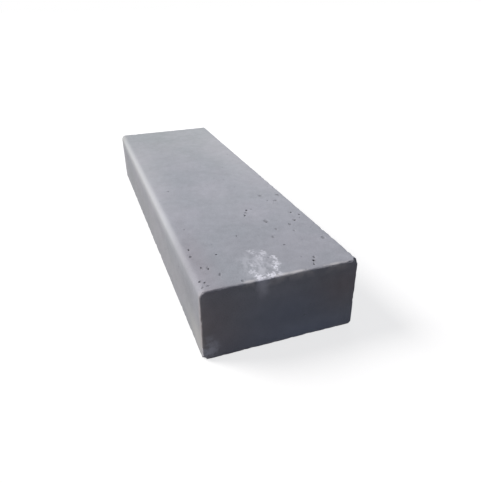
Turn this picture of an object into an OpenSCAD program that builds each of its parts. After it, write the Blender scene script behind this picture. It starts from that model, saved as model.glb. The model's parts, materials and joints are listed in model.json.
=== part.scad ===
// Solid concrete step block, cast in one piece.
// It lies as it is laid: length along X, front riser facing -Y, tread facing +Z.
// The origin is the middle of the underside.

/* [Block] */
// Length of the step, end to end
block_length = 1200; // [400:50:2000]
// Depth of the step, front riser to back face
block_depth = 350; // [280:10:450]
// Height of the step, underside to tread
block_height = 170; // [120:5:220]

/* [Edges] */
// Radius of the rounded nosing where the tread meets the front riser
nosing_radius = 15; // [6:1:25]
// Width of the 45 degree arris that the mould leaves on every other edge
arris = 3; // [1:0.5:5]

/* [Hidden] */

// Arcs and cones are drawn with this many sides to a full turn
$fn = 128;
// How far a cutter runs past the face that it cuts
overcut = 1;
concrete_grey = [0.64, 0.65, 0.68];

// The nosing's centre line, which runs along X
nosing_y = nosing_radius - block_depth / 2;
nosing_z = block_height - nosing_radius;

// A rectangle centred on the origin, with its four corners cut at 45 degrees.
module arrised_rectangle(size) {
    half_x = size[0] / 2;
    half_y = size[1] / 2;
    polygon([
        for (corner = [[1, 1], [-1, 1], [-1, -1], [1, -1]])
            let (turns_right = corner[0] * corner[1] > 0)
                for (first = [true, false])
                    first == turns_right
                        ? [corner[0] * half_x, corner[1] * (half_y - arris)]
                        : [corner[0] * (half_x - arris), corner[1] * half_y]
    ]);
}

// The block with an arris on all twelve edges: its end, plan and front outlines, crossed.
module arrised_block() {
    intersection() {
        rotate([90, 0, 90])
            linear_extrude(block_length, center = true)
                arrised_rectangle([block_depth, block_height]);
        linear_extrude(block_height, center = true)
            arrised_rectangle([block_length, block_depth]);
        rotate([90, 0, 0])
            linear_extrude(block_depth, center = true)
                arrised_rectangle([block_length, block_height]);
    }
}

// The round bar that the nosing follows, with the arris carried round both of its ends.
module nosing_bar() {
    straight = block_length - 2 * arris;
    cylinder(h = straight, r = nosing_radius, center = true);
    for (side = [0, 1])
        mirror([0, 0, side])
            translate([0, 0, straight / 2])
                cylinder(h = arris, r1 = nosing_radius, r2 = nosing_radius - arris);
}

// What the rounded nosing leaves off the square front top edge.
module nosing_cutter() {
    difference() {
        translate([-block_length / 2 - overcut, -block_depth / 2 - overcut, nosing_z])
            cube([block_length + 2 * overcut, nosing_radius + overcut, nosing_radius + overcut]);
        translate([0, nosing_y, nosing_z])
            rotate([0, 90, 0])
                nosing_bar();
    }
}

module step_block() {
    color(concrete_grey)
        difference() {
            translate([0, 0, block_height / 2])
                arrised_block();
            nosing_cutter();
        }
}

step_block();
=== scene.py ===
# A cast concrete step block, worn and pitted, on a plain pale floor.
import itertools
import json
import math
import random

import bmesh
import bpy
from mathutils import Matrix, Vector, noise


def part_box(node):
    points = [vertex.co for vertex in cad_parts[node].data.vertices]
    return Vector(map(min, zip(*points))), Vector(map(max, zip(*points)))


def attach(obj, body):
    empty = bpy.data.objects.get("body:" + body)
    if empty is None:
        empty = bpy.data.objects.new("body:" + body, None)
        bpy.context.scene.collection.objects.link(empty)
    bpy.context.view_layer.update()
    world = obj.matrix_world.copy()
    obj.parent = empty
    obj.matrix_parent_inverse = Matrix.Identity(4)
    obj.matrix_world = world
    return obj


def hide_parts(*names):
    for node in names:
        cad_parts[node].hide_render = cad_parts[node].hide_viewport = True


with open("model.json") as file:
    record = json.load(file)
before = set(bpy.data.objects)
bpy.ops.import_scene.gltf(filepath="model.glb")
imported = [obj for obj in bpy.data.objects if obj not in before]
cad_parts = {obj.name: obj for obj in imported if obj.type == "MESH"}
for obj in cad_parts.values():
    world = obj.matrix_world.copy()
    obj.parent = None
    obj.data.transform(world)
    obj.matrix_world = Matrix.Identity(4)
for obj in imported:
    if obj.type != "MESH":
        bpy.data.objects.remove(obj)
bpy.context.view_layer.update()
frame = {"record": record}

MM = 0.001
NODE = "step_block"
LOW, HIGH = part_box(NODE)
SIZE = HIGH - LOW
MIDDLE = (LOW + HIGH) / 2
X, Y, Z = range(3)
UP = Vector((0, 0, 1))
SEED = 11
# Places closer than this count as one
HAIR = 0.01 * MM

# Edges: the rounded nosing, and the 3 mm arris of the others, which wear has made round
NOSING_RADIUS = 15 * MM
NOSING_STEPS = 10
EDGE_RADIUS = 5 * MM
EDGE_STEPS = 6
# How far inside a sharp edge, and inside a sharp corner, the rounding lies
EDGE_DROP = EDGE_RADIUS * (math.sqrt(2) - 1)
CORNER_DROP = EDGE_RADIUS * (math.sqrt(3) - 1)
# How far from an edge nicks are worn in it, and how far from it a place counts as on the edge
NICK_REACH = 1.05 * EDGE_RADIUS
EDGE_REACH = 1.2 * EDGE_RADIUS
# Faces of the plain block that meet at more than this angle get a worn edge
SQUARE_CORNER = math.radians(40)
# Faces of the finished block that meet at more than this angle are shaded with a sharp crease
SHARP_CORNER = math.radians(16)

# Cast skin: a net of faces fine enough to carry slow waves, and nicks in the worn edges
NET_STEP = 6 * MM
WAVE_DEPTH = 0.5 * MM
WAVE_LENGTH = 90 * MM
NICK_DEPTH = 1.6 * MM
NICK_LENGTH = 14 * MM
# The nicks' noise: its fractal increment, the step between its frequencies and how many it has
NICK_NOISE = (0.8, 2.0, 3)

# Air holes: how many open on a square metre of face, their least and greatest radius, how fast
# the larger ones get rarer, and how far they stay from the edges of the face
HOLES_PER_AREA = 330
HOLE_LEAST = 0.8 * MM
HOLE_MOST = 2.3 * MM
HOLE_SPREAD = 2.2
HOLE_EDGE_GAP = 5 * MM
# Their depth, in parts of the radius
HOLE_SINK = (0.6, 1.0)
# How far apart they stay, in parts of their radii, and from a pock, in parts of its half length
HOLES_APART = 1.6
POCKS_APART = 1.5
# Holes and dishes are painted with shade from this depth below the skin, darkest this much further down
SHADE_FROM = 0.5 * MM
SHADE_DEPTH = 1.5 * MM

# Pocks on the tread and nosing, each a shallow dish: place on X and Y, size on X and Y, and the
# radius of the hole in it, where it has one, all in mm
POCKS = (
    (277, 43, 16, 11, 2.8),
    (291, 35, 12, 9, 1.4),
    (305, 27, 16, 11, 3.0),
    (356, 65, 24, 16, 2.4),
    (197, 111, 20, 16, 1.4),
    (438, 47, 12, 9, 0),
    (405, 70, 12, 9, 0),
    (556, 92, 12, 9, 2.3),
    (569, 85, 13, 9, 2.5),
    (582, 79, 12, 9, 2.0),
    (515, -145, 20, 9, 1.5),
    (518, -133, 18, 8, 1.3),
    (561, -163, 8, 8, 1.4),
    (569, -154, 8, 9, 1.2),
    (583, -164, 9, 9, 1.1),
    (582, -152, 8, 8, 1.0),
    (429, -152, 14, 9, 1.9),
    (461, -156, 14, 8, 1.5),
    (552, -117, 12, 8, 0),
    (589, -82, 9, 7, 1.0),
    (245, 138, 11, 18, 1.8),
    (210, 158, 18, 14, 2.0),
    (332, 142, 20, 16, 2.8),
    (350, 158, 12, 8, 1.6),
    (374, 133, 18, 12, 2.0),
    (393, 111, 14, 10, 0),
    (428, 107, 12, 10, 0),
    (483, 154, 16, 14, 1.0),
)
DISH_DEPTH = 1.3 * MM
# How high the middle of a dish's ball is above the skin, in parts of the ball's half height
DISH_RISE = 0.6
# How far a hole may be off the middle of its pock, in parts of the pock's half size
POCK_HOLE_OFF = 0.4

# Chips broken out of the edges and corners, and one given on the top edge of the right-hand end
END_CHIP_Y = 114 * MM
CHIPS = 34
CHIP_RADIUS = (4 * MM, 10 * MM)
CHIP_BITE = (0.8 * MM, 2.2 * MM)
CORNER_CHIP_RADIUS = 14 * MM
CORNER_CHIP_BITE = (1.6 * MM, 3.0 * MM)
# How deep three corners of the right-hand end are broken, by the sides that meet there
BROKEN_CORNERS = {(1, 1, 1): 6.5 * MM, (1, -1, -1): 8.0 * MM, (1, 1, -1): 3.0 * MM}

# Lumpy balls that all these are cut with: height of the lumps, how many there are to a radius, how
# far their noise is moved at random, how far from round the balls are, and how finely they are split
BALL_LUMPS = 0.35
LUMPS_PER_RADIUS = 1.6
LUMP_SHIFT = 50
BALL_SPREAD = (0.8, 1.25)
BALL_STEPS = 2
FINE_BALL_STEPS = 3

# How short an edge is closed up, and the gap between the sides on the map
SLIVER = 0.02 * MM
MAP_GAP = 12 * MM

# Linear colours
PASTE = Vector(frame["record"]["materials"][0]["base_color"])
# Pale wear, also used for a painted highlight down the right-hand upright edge
PALE_WEAR_AND_HIGHLIGHT = (0.69, 0.68, 0.69, 1)
# Worn nosing, partly a painted highlight
NOSING_WEAR_AND_HIGHLIGHT = (0.62, 0.64, 0.67, 1)
# Painted bounce light from the floor
PAINTED_BOUNCE = (0.62, 0.61, 0.57, 1)
DIRT = (0.40, 0.385, 0.35, 1)
ALGAE = (0.41, 0.46, 0.37, 1)
EARTH = (0.43, 0.34, 0.33, 1)
GRIME = (0.36, 0.28, 0.31, 1)
# Cool painted bounce light
COOL_PAINTED_BOUNCE = (0.46, 0.51, 0.60, 1)
SLATE = (0.31, 0.355, 0.46, 1)
PAINTED_SHADE = (0.11, 0.12, 0.13, 1)
# Lime bloom, also used for a painted glint
BLOOM_AND_GLINT_WHITE = (0.80, 0.81, 0.88, 1)
# Painted shade for the holes and dishes
HOLE_SHADE_PAINT = (0.17, 0.17, 0.18, 1)
WHITE = (1, 1, 1, 1)

# Noises of the finish: lumps to a metre, layers and roughness
CLOUDS = (7, 4, 0.5)
BLOTCHES = (19, 2, 0.5)
MOTTLE = (48, 5, 0.6)
SAND = (520, 3, 0.7)
WEAR_PATCHES = (22, 4, 0.6)
CRUMBS = (190, 3, 0.6)
STREAKS = (34, 4, 0.65)
# Most of a noise lies in this span
NOISE_SPAN = (0.3, 0.7)

# Shades of the paste, with the red and green of the clouds, the most that the others cover, and
# the span of the sand's noise in which its grains show
DARK_CLOUD = (1.02, 0.965, 0.995)
PALE_CLOUD = (1.13, 0.995, 0.985)
BLOTCH_SHADE = 0.3
BLOTCH_SHARE = 0.09
MOTTLE_SHADE = 0.2
MOTTLE_SHARE = 0.10
PALE_GRAIN = 1.5
PALE_GRAIN_SPAN = (0.35, 0.75)
DARK_GRAIN = 0.55
DARK_GRAIN_SPAN = (0.45, 0.25)
GRAIN_SHARE = 0.4
ROUGHNESS = (0.78, 0.95)
SPECULAR = 0.25
BUMP_STRENGTH = 0.35
BUMP_DEPTH = 0.6 * MM

# The nosing is painted pale, as wear from feet and partly as a painted highlight: in patches, and less
# to the back, down the riser and to the right
NOSING_BAND_Y = (LOW.y + 22 * MM, LOW.y - 4.5 * MM)
NOSING_BAND_Z = (HIGH.z - 45 * MM, HIGH.z - 3 * MM)
NOSING_BAND_X = (0.22, 0.60)
NOSING_BAND_LEAST = 0.15
NOSING_BAND_PATCHY = (0.75, 1.0)
# The edges of the ends are rubbed pale too, from this far behind the riser to this far from the
# back, with a fade at both, and in patches where their noise is in the span
WORN_FROM = 70 * MM
WORN_TO = 8 * MM
WORN_FADE = 30 * MM
WORN_SPAN = (0.40, 0.58)
WORN_LEAST = 0.05

# Broad soft patches of another tone, a few of them painted shade and light: centre, reach along each
# axis, strength and paint
TONES = (
    # The tread: painted shade at its right-hand end, green at the other, paler at its front, back and
    # middle, and dirty at both ends of its front
    ((0.580, 0.030, HIGH.z), (0.360, 0.300, 0.040), 0.145, PAINTED_SHADE),
    ((LOW.x, MIDDLE.y, HIGH.z), (0.750, 0.500, 0.050), 0.18, ALGAE),
    ((-0.100, LOW.y, HIGH.z), (0.550, 0.110, 0.060), 0.24, PALE_WEAR_AND_HIGHLIGHT),
    ((-0.150, HIGH.y, HIGH.z), (0.650, 0.160, 0.060), 0.20, PALE_WEAR_AND_HIGHLIGHT),
    ((0.160, 0.010, HIGH.z), (0.300, 0.180, 0.030), 0.06, PALE_WEAR_AND_HIGHLIGHT),
    ((0.480, -0.150, HIGH.z), (0.260, 0.055, 0.030), 0.22, GRIME),
    ((LOW.x, LOW.y, HIGH.z), (0.130, 0.040, 0.050), 0.30, DIRT),
    # The riser: dirt splashed on it, and at its right painted shade under the nosing, a painted
    # highlight on the upright edge and painted bounce light at its foot
    ((MIDDLE.x, LOW.y, 0.060), (3.000, 0.030, 0.130), 0.25, DIRT),
    # Painted shade under the nosing
    ((0.520, LOW.y, 0.115), (0.220, 0.020, 0.050), 0.14, PAINTED_SHADE),
    # Painted highlight down the rounded upright edge
    ((0.600, LOW.y, 0.110), (0.020, 0.035, 0.110), 0.35, PALE_WEAR_AND_HIGHLIGHT),
    # Painted bounce light at the riser's foot
    ((0.570, LOW.y, 0.035), (0.130, 0.020, 0.060), 0.40, PAINTED_BOUNCE),
    # The right-hand end: painted shade and brown at the top, to the back, brown to the front, cool at
    # its middle, and at its foot a cool painted bounce light
    ((0.600, 0.130, 0.130), (0.020, 0.150, 0.080), 0.23, PAINTED_SHADE),
    ((0.600, 0.150, 0.110), (0.020, 0.130, 0.075), 0.35, EARTH),
    ((0.600, -0.175, 0.085), (0.020, 0.140, 0.140), 0.35, EARTH),
    ((0.600, 0.010, 0.075), (0.020, 0.160, 0.090), 0.50, SLATE),
    # Cool painted bounce light along the end's foot
    ((0.600, 0.055, 0.012), (0.020, 0.190, 0.060), 0.90, COOL_PAINTED_BOUNCE),
)

# Lime bloom at the top of the right-hand end: a wide patch in streaks, and a run down the end
BLOOM_CENTRE = (0.552, -0.034, HIGH.z)
BLOOM_REACH = (0.090, 0.056, 0.045)
BLOOM_STRETCH = (1.0, 2.4, 0.7)
BLOOM_SPAN = (0.40, 0.60)
BLOOM_MOST = 0.42
BLOOM_RUN_CENTRE = (0.600, -0.043, HIGH.z - 0.008)
BLOOM_RUN_REACH = (0.010, 0.022, 0.050)
BLOOM_RUN_STRENGTH = 0.9
# Its outline is pushed about, with so many lumps to a metre, over this width
BLOOM_RAGGED = (70, 12 * MM)
# Its thicker spots, and last a painted glint low on the end: place, reach and strength
BLOOM_AND_GLINT_SPOTS = (
    (0.489, -0.026, HIGH.z, 0.014, 0.5),
    (0.501, -0.005, HIGH.z, 0.014, 0.6),
    (0.517, -0.018, HIGH.z, 0.016, 0.5),
    (0.526, 0.010, HIGH.z, 0.012, 0.8),
    (0.550, 0.006, HIGH.z, 0.012, 0.8),
    (0.566, -0.002, HIGH.z, 0.013, 1.0),
    (0.540, -0.044, HIGH.z, 0.014, 0.5),
    (0.567, -0.052, HIGH.z, 0.014, 0.6),
    (0.592, -0.047, HIGH.z, 0.019, 1.0),
    (0.593, -0.021, HIGH.z, 0.018, 1.0),
    (0.590, -0.002, HIGH.z, 0.009, 0.6),
    # Painted glint low on the right-hand end
    (0.600, -0.162, 0.018, 0.016, 1.0),
)
# A spot's reach along each axis, what the crumbs add to it or take off, and where it shows
SPOT_SHAPE = Vector((1.8, 1.2, 0.5))
SPOT_CRUMBS = (-0.35, 0.35)
SPOT_SPAN = (0.3, 1.0)
# A pale smear low on the same end
SMEAR_CENTRE = (0.600, -0.160, 0.026)
SMEAR_REACH = (0.012, 0.036, 0.050)
SMEAR_RAGGED = (70, 22 * MM)
SMEAR_SPAN = (0.35, 0.60)

# Camera, solved from the block's edges in a picture 483 pixels wide
PICTURE_WIDTH = 483
FOCAL_PIXELS = 456.4
SENSOR_WIDTH = 36
CAMERA_PLACE = Vector((1.2996, -0.3352, 0.6625))
CAMERA_AIM = Vector((0.2732, 0.0276, 0.0780))
CAMERA_ROLL = math.radians(-0.815)

# Light: a broad key lamp from the front left, a soft box behind the left-hand end, and a dim sky
KEY_FROM = Vector((-0.42, -0.63, 0.66))
KEY_COLOUR = (1.0, 0.975, 0.945)
KEY_STRENGTH = 3.22
KEY_SOFTNESS = math.radians(28)
FILL_PLACE = Vector((-1.3, 1.0, 0.9))
FILL_AIM = Vector((LOW.x, MIDDLE.y, HIGH.z))
FILL_SIZE = (1.4, 1.0)
FILL_WATTS = 6
SKY_COLOUR = (0.79, 0.815, 1.0, 1)
SKY_STRENGTH = 0.19

# Floor: its colour and glow to the eye, and its colour to the light that bounces
FLOOR_WIDTH = 60.0
FLOOR_SEEN = (0.36, 0.36, 0.36, 1)
FLOOR_SEEN_GLOW = 0.74
FLOOR_BOUNCE = (0.125, 0.122, 0.112, 1)


# Shape of the block

def face_gaps(place):
    """How far a place is inside the nearer face along each axis."""
    return [min(place[axis] - LOW[axis], HIGH[axis] - place[axis]) for axis in range(3)]


def on_nosing(place):
    """Whether a place is on the rounded front top edge."""
    return place.y < LOW.y + NOSING_RADIUS and place.z > HIGH.z - NOSING_RADIUS


def depth_in(place):
    """How far a place lies below the block's skin, with its rounded edges."""
    skins = face_gaps(place)
    if on_nosing(place):
        round_gap = NOSING_RADIUS - math.hypot(NOSING_RADIUS - skins[Y], NOSING_RADIUS - skins[Z])
        skins = [skins[X], round_gap]
    outside = [EDGE_RADIUS - gap for gap in skins if gap < EDGE_RADIUS]
    return EDGE_RADIUS - math.hypot(*outside) if outside else min(skins)


def edge_gap(place):
    """How far a place is from the nearest edge of the block."""
    return sorted(face_gaps(place))[1]


def round_edges(bm, edges, radius, steps):
    """Rounds some edges of the block."""
    bmesh.ops.bevel(
        bm, geom=edges, offset=radius, offset_type="OFFSET", affect="EDGES",
        segments=steps, profile=0.5, material=-1, clamp_overlap=False)


def moulded_block():
    """The plain block, with a rounded nosing and worn round edges."""
    bm = bmesh.new()
    bmesh.ops.create_cube(bm, size=1.0)
    bmesh.ops.scale(bm, vec=SIZE, verts=bm.verts)
    bmesh.ops.translate(bm, vec=MIDDLE, verts=bm.verts)
    front_top = [edge for edge in bm.edges if all(on_nosing(vert.co) for vert in edge.verts)]
    round_edges(bm, front_top, NOSING_RADIUS, NOSING_STEPS)
    corners = [edge for edge in bm.edges if edge.calc_face_angle() > SQUARE_CORNER]
    round_edges(bm, corners, EDGE_RADIUS, EDGE_STEPS)
    return bm


def cut_net(bm, axis, first, last):
    """Cuts the faces across one axis in even steps between two places."""
    count = round((last - first) / NET_STEP)
    normal = Vector([float(other == axis) for other in range(3)])
    for step in range(1, count):
        place = normal * (first + (last - first) * step / count)
        bmesh.ops.bisect_plane(
            bm, geom=bm.verts[:] + bm.edges[:] + bm.faces[:], dist=HAIR,
            plane_co=place, plane_no=normal)


def weather_skin(bm):
    """Sinks the skin in slow waves, and wears the edges unevenly. The underside stays flat."""
    bm.normal_update()
    moves = []
    for vert in bm.verts:
        place = vert.co
        if place.z < LOW.z + HAIR:
            continue
        sink = WAVE_DEPTH * (0.5 + 0.5 * noise.noise(place / WAVE_LENGTH))
        if edge_gap(place) < NICK_REACH:
            nick = noise.fractal(place / NICK_LENGTH, *NICK_NOISE)
            sink += NICK_DEPTH * max(0.0, nick)
        moves.append((vert, vert.normal * sink))
    for vert, move in moves:
        vert.co -= move


def add_object(name, data):
    """Puts a mesh, a lamp or a camera in the scene, at the origin."""
    made = bpy.data.objects.new(name, data)
    bpy.context.scene.collection.objects.link(made)
    return made


def make_object(name, bm):
    """Ends a bmesh as an object."""
    mesh = bpy.data.meshes.new(name)
    bm.to_mesh(mesh)
    bm.free()
    return add_object(name, mesh)


# Air holes, pocks and chips

def add_ball(bm, centre, normal, spans, rng, finer=False):
    """Adds a lumpy ball to cut with: two spans across, and one along the normal."""
    steps = FINE_BALL_STEPS if finer else BALL_STEPS
    made = bmesh.ops.create_icosphere(bm, subdivisions=steps, radius=1.0)["verts"]
    shift = Vector([rng.uniform(0, LUMP_SHIFT) for _ in range(3)])
    for vert in made:
        vert.co *= 1 + BALL_LUMPS * noise.noise(LUMPS_PER_RADIUS * vert.co + shift)
    turn = normal.to_track_quat("Z", "Y").to_matrix()
    matrix = Matrix.Translation(centre) @ (turn @ Matrix.Diagonal(spans)).to_4x4()
    bmesh.ops.transform(bm, matrix=matrix, verts=made)


def add_round_ball(bm, centre, normal, radius, depth, rng, finer=False):
    """Adds a ball that is about as wide as it is long."""
    across = (radius * rng.uniform(*BALL_SPREAD), radius * rng.uniform(*BALL_SPREAD))
    add_ball(bm, centre, normal, (*across, depth), rng, finer)


def tread_height(y):
    """Height of the tread, or of the nosing, so far across the block."""
    gap = max(0.0, LOW.y + NOSING_RADIUS - y)
    return HIGH.z - NOSING_RADIUS + math.sqrt(NOSING_RADIUS**2 - gap**2)


def pocks():
    """Middle of each pock, its half lengths along X and Y, and the radius of its hole."""
    for x, y, along, across, hole in POCKS:
        place = Vector((x * MM, y * MM, tread_height(y * MM)))
        yield place, along * MM / 2, across * MM / 2, hole * MM


def scattered_holes(rng, axis, side):
    """Small air holes spread over one face of the block."""
    across = [other for other in range(3) if other != axis]
    area = SIZE[across[0]] * SIZE[across[1]]
    normal = Vector([float(side) * (other == axis) for other in range(3)])
    holes = []
    for _ in range(round(area * HOLES_PER_AREA)):
        place = Vector()
        place[axis] = HIGH[axis] if side > 0 else LOW[axis]
        for other in across:
            place[other] = rng.uniform(LOW[other] + HOLE_EDGE_GAP, HIGH[other] - HOLE_EDGE_GAP)
        radius = min(HOLE_LEAST * rng.paretovariate(HOLE_SPREAD), HOLE_MOST)
        if not on_nosing(place):
            holes.append((place, normal, radius))
    return holes


def hole_places(rng):
    """Centre, outward normal and radius of each air hole, clear of the others and of the pocks."""
    wanted = []
    for axis in range(3):
        for side in (-1, 1):
            wanted.extend(scattered_holes(rng, axis, side))
    kept = []
    for place, normal, radius in wanted:
        apart = all((place - other).length > HOLES_APART * (radius + wide) for other, _, wide in kept)
        clear = all((place - other).length > POCKS_APART * max(spans) for other, *spans, _ in pocks())
        if apart and clear:
            kept.append((place, normal, radius))
    return kept


def edge_chips(rng):
    """A place on an edge, the direction out of it and the radius of each chip there."""
    yield Vector((HIGH.x, END_CHIP_Y, HIGH.z)), Vector((1, 0, 1)).normalized(), CHIP_RADIUS[1]
    for _ in range(CHIPS):
        along = rng.choices(range(3), weights=SIZE)[0]
        place = Vector()
        normal = Vector()
        for axis in range(3):
            if axis == along:
                place[axis] = rng.uniform(LOW[axis], HIGH[axis])
            else:
                side = rng.choice((-1, 1))
                place[axis] = HIGH[axis] if side > 0 else LOW[axis]
                normal[axis] = side
        radius = rng.uniform(*CHIP_RADIUS)
        if not (along == X and normal.y < 0 and normal.z > 0):
            yield place, normal.normalized(), radius


def square_corners():
    """Each corner of the block that the nosing leaves, and the sides that meet there."""
    for sides in itertools.product((-1, 1), repeat=3):
        place = Vector([HIGH[axis] if sides[axis] > 0 else LOW[axis] for axis in range(3)])
        if not on_nosing(place):
            yield place, sides


def dish_cutters(rng):
    """The dishes of the pocks, and the chips, each with its centre outside the skin that it bites."""
    bm = bmesh.new()
    height = DISH_DEPTH / (1 - DISH_RISE)
    spread = 1 / math.sqrt(1 - DISH_RISE**2)
    for place, along, across, _ in pocks():
        spans = (along * spread, across * spread, height)
        add_ball(bm, place + UP * (height * DISH_RISE), UP, spans, rng, finer=True)
    for place, normal, radius in edge_chips(rng):
        bite = EDGE_DROP + rng.uniform(*CHIP_BITE)
        add_round_ball(bm, place + normal * (radius - bite), normal, radius, radius, rng, finer=True)
    for place, sides in square_corners():
        normal = Vector(sides).normalized()
        bite = rng.uniform(*CORNER_CHIP_BITE)
        bite = CORNER_DROP + BROKEN_CORNERS.get(sides, bite)
        centre = place + normal * (CORNER_CHIP_RADIUS - bite)
        add_round_ball(bm, centre, normal, CORNER_CHIP_RADIUS, CORNER_CHIP_RADIUS, rng, finer=True)
    return make_object("dish_cutters", bm)


def hole_cutters(rng):
    """The air holes, and the deeper hole in each pock that has one."""
    bm = bmesh.new()
    for place, along, across, radius in pocks():
        off_x = POCK_HOLE_OFF * along * rng.uniform(-1, 1)
        off_y = POCK_HOLE_OFF * across * rng.uniform(-1, 1)
        centre = place + Vector((off_x, off_y, -radius))
        if radius:
            add_ball(bm, centre, UP, (radius * along / across, radius, radius), rng)
    for place, normal, radius in hole_places(rng):
        add_round_ball(bm, place, normal, radius, radius * rng.uniform(*HOLE_SINK), rng)
    return make_object("hole_cutters", bm)


def cut_out(block, cutters):
    """Cuts the shapes of one mesh out of the block, and takes that mesh away."""
    cut = block.modifiers.new("cut", "BOOLEAN")
    cut.operation = "DIFFERENCE"
    cut.solver = "MANIFOLD"
    cut.object = cutters
    solid = block.evaluated_get(bpy.context.evaluated_depsgraph_get())
    mesh = bpy.data.meshes.new_from_object(solid)
    mesh.name = block.name
    block.modifiers.clear()
    whole = block.data
    block.data = mesh
    bpy.data.meshes.remove(whole)
    bpy.data.objects.remove(cutters)


def join_slivers(mesh):
    """Makes the faces triangles, closes up slivers, and takes out pairs that lie back to back."""
    bm = bmesh.new()
    bm.from_mesh(mesh)
    bmesh.ops.triangulate(bm, faces=bm.faces)
    bmesh.ops.dissolve_degenerate(bm, edges=bm.edges, dist=SLIVER)
    bmesh.ops.triangulate(bm, faces=bm.faces)
    by_corners = {}
    for face in bm.faces:
        by_corners.setdefault(frozenset(face.verts), []).append(face)
    pairs = [face for faces in by_corners.values() if len(faces) > 1 for face in faces]
    bmesh.ops.delete(bm, geom=pairs, context="FACES")
    bm.to_mesh(mesh)
    bm.free()


# Marks on the mesh that the finish reads

def clamp(value):
    """A value held between 0 and 1."""
    return min(1.0, max(0.0, value))


def on_edge(place):
    """Whether a place is on one of the worn round edges."""
    return edge_gap(place) < EDGE_REACH


def hole_depth(place):
    """How deep a place lies in a hole or a dish, from 0 to 1, which sets how much painted shade it
    gets.
    """
    return 0.0 if on_edge(place) else clamp((depth_in(place) - SHADE_FROM) / SHADE_DEPTH)


def edge_wear(place):
    """How far an edge is rubbed pale, from 0 to 1: not in chips, nor at the front and the back."""
    if on_nosing(place) or not on_edge(place) or depth_in(place) > NICK_DEPTH:
        return 0.0
    front = clamp((place.y - LOW.y - WORN_FROM) / WORN_FADE)
    return front * clamp((HIGH.y - WORN_TO - place.y) / WORN_FADE)


def mark_depth_and_wear(mesh):
    """Gives each point how deep it lies in a hole, for the painted shade there, and how far its edge is
    worn.
    """
    hole_shade = mesh.attributes.new("hole_shade", "FLOAT", "POINT")
    wear = mesh.attributes.new("wear", "FLOAT", "POINT")
    for vert in mesh.vertices:
        hole_shade.data[vert.index].value = hole_depth(vert.co)
        wear.data[vert.index].value = edge_wear(vert.co)


def nearest_side(place):
    """The axis of the block's side that is closest to a place, and -1 or 1 for which of the two."""
    sides = [(place[axis] - LOW[axis], axis, -1) for axis in range(3)]
    sides += [(HIGH[axis] - place[axis], axis, 1) for axis in range(3)]
    return min(sides)[1:]


def unfold_sides(mesh):
    """Lays the six sides out on a flat map: the long ones stacked, and the ends beside them."""
    low_edge = {(Z, 1): 0.0, (Z, -1): SIZE.y + MAP_GAP}
    low_edge[Y, -1] = 2 * (SIZE.y + MAP_GAP)
    low_edge[Y, 1] = low_edge[Y, -1] + SIZE.z + MAP_GAP
    low_edge[X, -1] = 0.0
    low_edge[X, 1] = SIZE.y + MAP_GAP
    wide = SIZE.x + MAP_GAP + SIZE.z
    tall = low_edge[Y, 1] + SIZE.z
    layer = mesh.uv_layers.new(name="OFBake")
    for face in mesh.polygons:
        axis, side = nearest_side(face.center)
        for corner in face.loop_indices:
            place = mesh.vertices[mesh.loops[corner].vertex_index].co - LOW
            if axis == X:
                flat = (SIZE.x + MAP_GAP + place.z, low_edge[axis, side] + place.y)
            else:
                flat = (place.x, low_edge[axis, side] + (place.y if axis == Z else place.z))
            layer.uv[corner].vector = (flat[0] / wide, flat[1] / tall)


def dressed_block():
    """The finished block: moulded, weathered, pitted and chipped."""
    rng = random.Random(SEED)
    bm = moulded_block()
    cut_net(bm, X, LOW.x + EDGE_RADIUS, HIGH.x - EDGE_RADIUS)
    cut_net(bm, Y, LOW.y + NOSING_RADIUS, HIGH.y - EDGE_RADIUS)
    cut_net(bm, Z, LOW.z + EDGE_RADIUS, HIGH.z - NOSING_RADIUS)
    weather_skin(bm)
    block = make_object("cast_block", bm)
    cut_out(block, dish_cutters(rng))
    cut_out(block, hole_cutters(rng))
    join_slivers(block.data)
    for face in block.data.polygons:
        face.use_smooth = True
    block.data.set_sharp_from_angle(angle=SHARP_CORNER)
    mark_depth_and_wear(block.data)
    unfold_sides(block.data)
    return block


# Shader helpers

def feed(tree, socket, value):
    """Links a socket to another, or sets it."""
    if isinstance(value, bpy.types.NodeSocket):
        tree.links.new(value, socket)
    else:
        socket.default_value = value


def noise_value(tree, place, per_metre, layers, roughness):
    """A noise from 0 to 1, with so many lumps to a metre."""
    node = tree.nodes.new("ShaderNodeTexNoise")
    feed(tree, node.inputs["Vector"], place)
    node.inputs["Scale"].default_value = per_metre
    node.inputs["Detail"].default_value = layers
    node.inputs["Roughness"].default_value = roughness
    return node.outputs["Fac"]


def remap(tree, value, from_low, from_high, to_low=0.0, to_high=1.0):
    """Spreads a value smoothly from one range to another."""
    node = tree.nodes.new("ShaderNodeMapRange")
    node.interpolation_type = "SMOOTHSTEP"
    feed(tree, node.inputs["Value"], value)
    node.inputs["From Min"].default_value = from_low
    node.inputs["From Max"].default_value = from_high
    node.inputs["To Min"].default_value = to_low
    node.inputs["To Max"].default_value = to_high
    return node.outputs["Result"]


def sums(tree, operation, first, second):
    """One step of arithmetic."""
    node = tree.nodes.new("ShaderNodeMath")
    node.operation = operation
    feed(tree, node.inputs[0], first)
    feed(tree, node.inputs[1], second)
    return node.outputs[0]


def plus(tree, first, second):
    """One value added to another."""
    return sums(tree, "ADD", first, second)


def times(tree, first, second):
    """One value times another."""
    return sums(tree, "MULTIPLY", first, second)


def greater(tree, first, second):
    """The greater of two values."""
    return sums(tree, "MAXIMUM", first, second)


def blend(tree, share, first, second):
    """Mixes two colours. A mix node's sockets share their names, so they go by number."""
    node = tree.nodes.new("ShaderNodeMix")
    node.data_type = "RGBA"
    share_socket, first_socket, second_socket = node.inputs[0], node.inputs[6], node.inputs[7]
    feed(tree, share_socket, share)
    feed(tree, first_socket, first)
    feed(tree, second_socket, second)
    return node.outputs[2]


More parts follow.
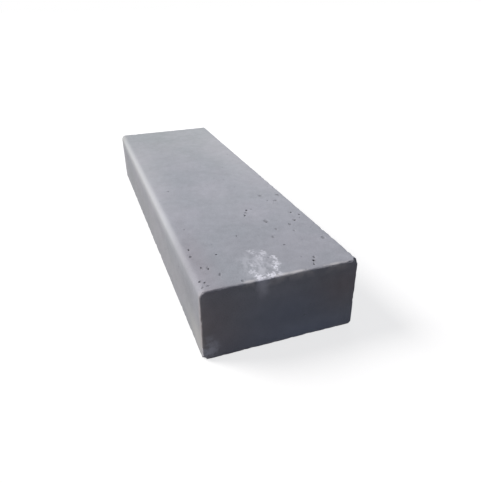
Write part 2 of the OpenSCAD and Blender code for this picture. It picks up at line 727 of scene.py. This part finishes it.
def point_value(tree, name):
    """A value that the mesh carries at each point."""
    node = tree.nodes.new("ShaderNodeAttribute")
    node.attribute_name = name
    return node.outputs["Fac"]


def patch(tree, place, centre, reach):
    """A soft round patch: 1 at its centre, 0 at its reach along each axis."""
    moved = tree.nodes.new("ShaderNodeMapping")
    moved.vector_type = "TEXTURE"
    feed(tree, moved.inputs["Vector"], place)
    moved.inputs["Location"].default_value = centre
    moved.inputs["Scale"].default_value = reach
    length = tree.nodes.new("ShaderNodeVectorMath")
    length.operation = "LENGTH"
    feed(tree, length.inputs[0], moved.outputs["Vector"])
    return remap(tree, length.outputs["Value"], 1.0, 0.0)


def stretched(tree, place, scale):
    """The same places, stretched by a factor along each axis."""
    node = tree.nodes.new("ShaderNodeMapping")
    feed(tree, node.inputs["Vector"], place)
    node.inputs["Scale"].default_value = scale
    return node.outputs["Vector"]


def warped(tree, place, per_metre, reach):
    """The same places, pushed about at random by up to half of the reach each way."""
    node = tree.nodes.new("ShaderNodeTexNoise")
    feed(tree, node.inputs["Vector"], place)
    node.inputs["Scale"].default_value = per_metre
    push = tree.nodes.new("ShaderNodeVectorMath")
    push.operation = "MULTIPLY_ADD"
    feed(tree, push.inputs[0], node.outputs["Color"])
    push.inputs[1].default_value = (reach, reach, reach)
    push.inputs[2].default_value = (-reach / 2, -reach / 2, -reach / 2)
    moved = tree.nodes.new("ShaderNodeVectorMath")
    feed(tree, moved.inputs[0], place)
    feed(tree, moved.inputs[1], push.outputs["Vector"])
    return moved.outputs["Vector"]


def paste_shade(scale, red=1.0, green=1.0):
    """The paste's colour, lighter or darker, with more or less red and green in it."""
    return (PASTE.x * scale * red, PASTE.y * scale * green, PASTE.z * scale, 1)


# Finish

def paste_colour(tree, place, mottle, sand):
    """Clean cement paste: clouds, dark blotches, mottling, and grains of sand."""
    clouds = remap(tree, noise_value(tree, place, *CLOUDS), *NOISE_SPAN)
    blotches = remap(tree, noise_value(tree, place, *BLOTCHES), *NOISE_SPAN, 0.0, BLOTCH_SHARE)
    mottling = remap(tree, mottle, *NOISE_SPAN, 0.0, MOTTLE_SHARE)
    pale_grains = remap(tree, sand, *PALE_GRAIN_SPAN, 0.0, GRAIN_SHARE)
    dark_grains = remap(tree, sand, *DARK_GRAIN_SPAN, 0.0, GRAIN_SHARE)
    colour = blend(tree, clouds, paste_shade(*DARK_CLOUD), paste_shade(*PALE_CLOUD))
    colour = blend(tree, blotches, colour, paste_shade(BLOTCH_SHADE))
    colour = blend(tree, mottling, colour, paste_shade(MOTTLE_SHADE))
    colour = blend(tree, pale_grains, colour, paste_shade(PALE_GRAIN))
    return blend(tree, dark_grains, colour, paste_shade(DARK_GRAIN))


def worn_edges(tree, place):
    """How far the edges of the ends are rubbed pale, in patches, from 0 to 1."""
    patchy = remap(tree, noise_value(tree, place, *WEAR_PATCHES), *WORN_SPAN, WORN_LEAST, 1.0)
    return times(tree, point_value(tree, "wear"), patchy)


def rubbed_and_highlit_front(tree, place, mottle):
    """How far the nosing and the front of the tread are painted pale, from 0 to 1: wear from feet, and
    partly a painted highlight.
    """
    axes = tree.nodes.new("ShaderNodeSeparateXYZ")
    feed(tree, axes.inputs[0], place)
    back = remap(tree, axes.outputs["Y"], *NOSING_BAND_Y)
    drop = remap(tree, axes.outputs["Z"], *NOSING_BAND_Z)
    along = remap(tree, axes.outputs["X"], *NOSING_BAND_X, 1.0, NOSING_BAND_LEAST)
    patchy = remap(tree, mottle, *NOISE_SPAN, *NOSING_BAND_PATCHY)
    return times(tree, times(tree, times(tree, back, drop), along), patchy)


def pale_smear(tree, place, mottle):
    """How thick the smear low on the right-hand end is, from 0 to 1."""
    smear = patch(tree, warped(tree, place, *SMEAR_RAGGED), SMEAR_CENTRE, SMEAR_REACH)
    return times(tree, smear, remap(tree, mottle, *SMEAR_SPAN))


def lime_bloom_and_glint(tree, place):
    """Pale lime in blots on the tread and down the end, with a few thick spots near the edge, and a
    painted glint low on the end.
    """
    ragged = warped(tree, place, *BLOOM_RAGGED)
    crumbs = remap(tree, noise_value(tree, place, *CRUMBS), *NOISE_SPAN, *SPOT_CRUMBS)
    streaks = noise_value(tree, stretched(tree, place, BLOOM_STRETCH), *STREAKS)
    wide = patch(tree, ragged, BLOOM_CENTRE, BLOOM_REACH)
    bloom = times(tree, wide, remap(tree, streaks, *BLOOM_SPAN, 0.0, BLOOM_MOST))
    run = patch(tree, ragged, BLOOM_RUN_CENTRE, BLOOM_RUN_REACH)
    bloom = greater(tree, bloom, times(tree, run, BLOOM_RUN_STRENGTH))
    for *centre, reach, strength in BLOOM_AND_GLINT_SPOTS:
        spot = plus(tree, crumbs, patch(tree, ragged, centre, SPOT_SHAPE * reach))
        bloom = greater(tree, bloom, remap(tree, spot, *SPOT_SPAN, 0.0, strength))
    return bloom


def concrete():
    """Grey cement paste with sand, worn edges, broad tones and a lime bloom, with painted shade in the
    holes and painted highlights, shade and bounce light among the rest.
    """
    material = bpy.data.materials.new("concrete")
    material.use_nodes = True
    tree = material.node_tree
    shader = tree.nodes["Principled BSDF"]
    place = tree.nodes.new("ShaderNodeTexCoord").outputs["Object"]
    mottle = noise_value(tree, place, *MOTTLE)
    sand = noise_value(tree, place, *SAND)

    colour = paste_colour(tree, place, mottle, sand)
    colour = blend(tree, worn_edges(tree, place), colour, PALE_WEAR_AND_HIGHLIGHT)
    # Pale band along the nosing: wear, and partly a painted highlight
    colour = blend(tree, rubbed_and_highlit_front(tree, place, mottle), colour, NOSING_WEAR_AND_HIGHLIGHT)
    for centre, reach, strength, paint in TONES:
        share = times(tree, patch(tree, place, centre, reach), strength)
        colour = blend(tree, share, colour, paint)
    colour = blend(tree, pale_smear(tree, place, mottle), colour, BLOOM_AND_GLINT_WHITE)
    # Lime bloom, with a painted glint low on the right-hand end
    colour = blend(tree, lime_bloom_and_glint(tree, place), colour, BLOOM_AND_GLINT_WHITE)
    # Painted shade in the holes and dishes, darker the deeper they lie
    colour = blend(tree, point_value(tree, "hole_shade"), colour, HOLE_SHADE_PAINT)
    feed(tree, shader.inputs["Base Color"], colour)

    feed(tree, shader.inputs["Roughness"], remap(tree, mottle, *NOISE_SPAN, *ROUGHNESS))
    shader.inputs["Specular IOR Level"].default_value = SPECULAR
    bump = tree.nodes.new("ShaderNodeBump")
    bump.inputs["Strength"].default_value = BUMP_STRENGTH
    bump.inputs["Distance"].default_value = BUMP_DEPTH
    feed(tree, bump.inputs["Height"], plus(tree, sand, mottle))
    feed(tree, shader.inputs["Normal"], bump.outputs["Normal"])
    return material


# Stage

def seen_directly(tree):
    """1 for rays from the camera, a reflection or glass, and 0 for light that bounces."""
    path = tree.nodes.new("ShaderNodeLightPath")
    sharp = greater(tree, path.outputs["Is Glossy Ray"], path.outputs["Is Transmission Ray"])
    return greater(tree, path.outputs["Is Camera Ray"], sharp)


def floor_finish():
    """White to the eye, with the block's shadow on it, and darker to the light that bounces."""
    material = bpy.data.materials.new("pale_floor")
    material.use_nodes = True
    tree = material.node_tree
    tree.nodes.clear()
    seen = seen_directly(tree)
    paint = tree.nodes.new("ShaderNodeBsdfDiffuse")
    feed(tree, paint.inputs["Color"], blend(tree, seen, FLOOR_BOUNCE, FLOOR_SEEN))
    glow = tree.nodes.new("ShaderNodeEmission")
    feed(tree, glow.inputs["Strength"], times(tree, seen, FLOOR_SEEN_GLOW))
    both = tree.nodes.new("ShaderNodeAddShader")
    feed(tree, both.inputs[0], paint.outputs[0])
    feed(tree, both.inputs[1], glow.outputs[0])
    out = tree.nodes.new("ShaderNodeOutputMaterial")
    feed(tree, out.inputs["Surface"], both.outputs[0])
    return material


def make_floor():
    """A plain floor that the block lies on."""
    bm = bmesh.new()
    bmesh.ops.create_grid(bm, x_segments=1, y_segments=1, size=FLOOR_WIDTH / 2)
    bmesh.ops.translate(bm, vec=(MIDDLE.x, MIDDLE.y, LOW.z), verts=bm.verts)
    floor = make_object("floor", bm)
    floor.data.materials.append(floor_finish())


def make_sky():
    """A dim cool sky to light by, white where it is seen."""
    world = bpy.data.worlds.new("studio")
    world.use_nodes = True
    tree = world.node_tree
    back = tree.nodes["Background"]
    seen = seen_directly(tree)
    feed(tree, back.inputs["Color"], blend(tree, seen, SKY_COLOUR, WHITE))
    feed(tree, back.inputs["Strength"], remap(tree, seen, 0.0, 1.0, SKY_STRENGTH, 1.0))
    bpy.context.scene.world = world


def make_key():
    """A broad, even lamp that shines from one direction."""
    lamp = bpy.data.lights.new("key", "SUN")
    lamp.color = KEY_COLOUR
    lamp.energy = KEY_STRENGTH
    lamp.angle = KEY_SOFTNESS
    made = add_object("key", lamp)
    made.rotation_euler = KEY_FROM.to_track_quat("Z", "Y").to_euler()


def make_fill():
    """A soft box that lifts the back and the left-hand end."""
    lamp = bpy.data.lights.new("fill", "AREA")
    lamp.shape = "RECTANGLE"
    lamp.size, lamp.size_y = FILL_SIZE
    lamp.energy = FILL_WATTS
    made = add_object("fill", lamp)
    made.location = FILL_PLACE
    made.rotation_euler = (FILL_PLACE - FILL_AIM).to_track_quat("Z", "Y").to_euler()


def make_camera():
    """The camera at the photograph's angle."""
    lens = bpy.data.cameras.new("camera")
    lens.sensor_width = SENSOR_WIDTH
    lens.lens = SENSOR_WIDTH * FOCAL_PIXELS / PICTURE_WIDTH
    camera = add_object("camera", lens)
    aim = (CAMERA_AIM - CAMERA_PLACE).to_track_quat("-Z", "Y").to_matrix().to_4x4()
    camera.matrix_world = Matrix.Translation(CAMERA_PLACE) @ aim @ Matrix.Rotation(CAMERA_ROLL, 4, "Z")
    bpy.context.scene.camera = camera


make_camera()
make_floor()
make_sky()
make_key()
make_fill()
bpy.context.scene.view_settings.view_transform = "Standard"

block = dressed_block()
block.data.materials.clear()
block.data.materials.append(concrete())
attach(block, "root")
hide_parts(NODE)
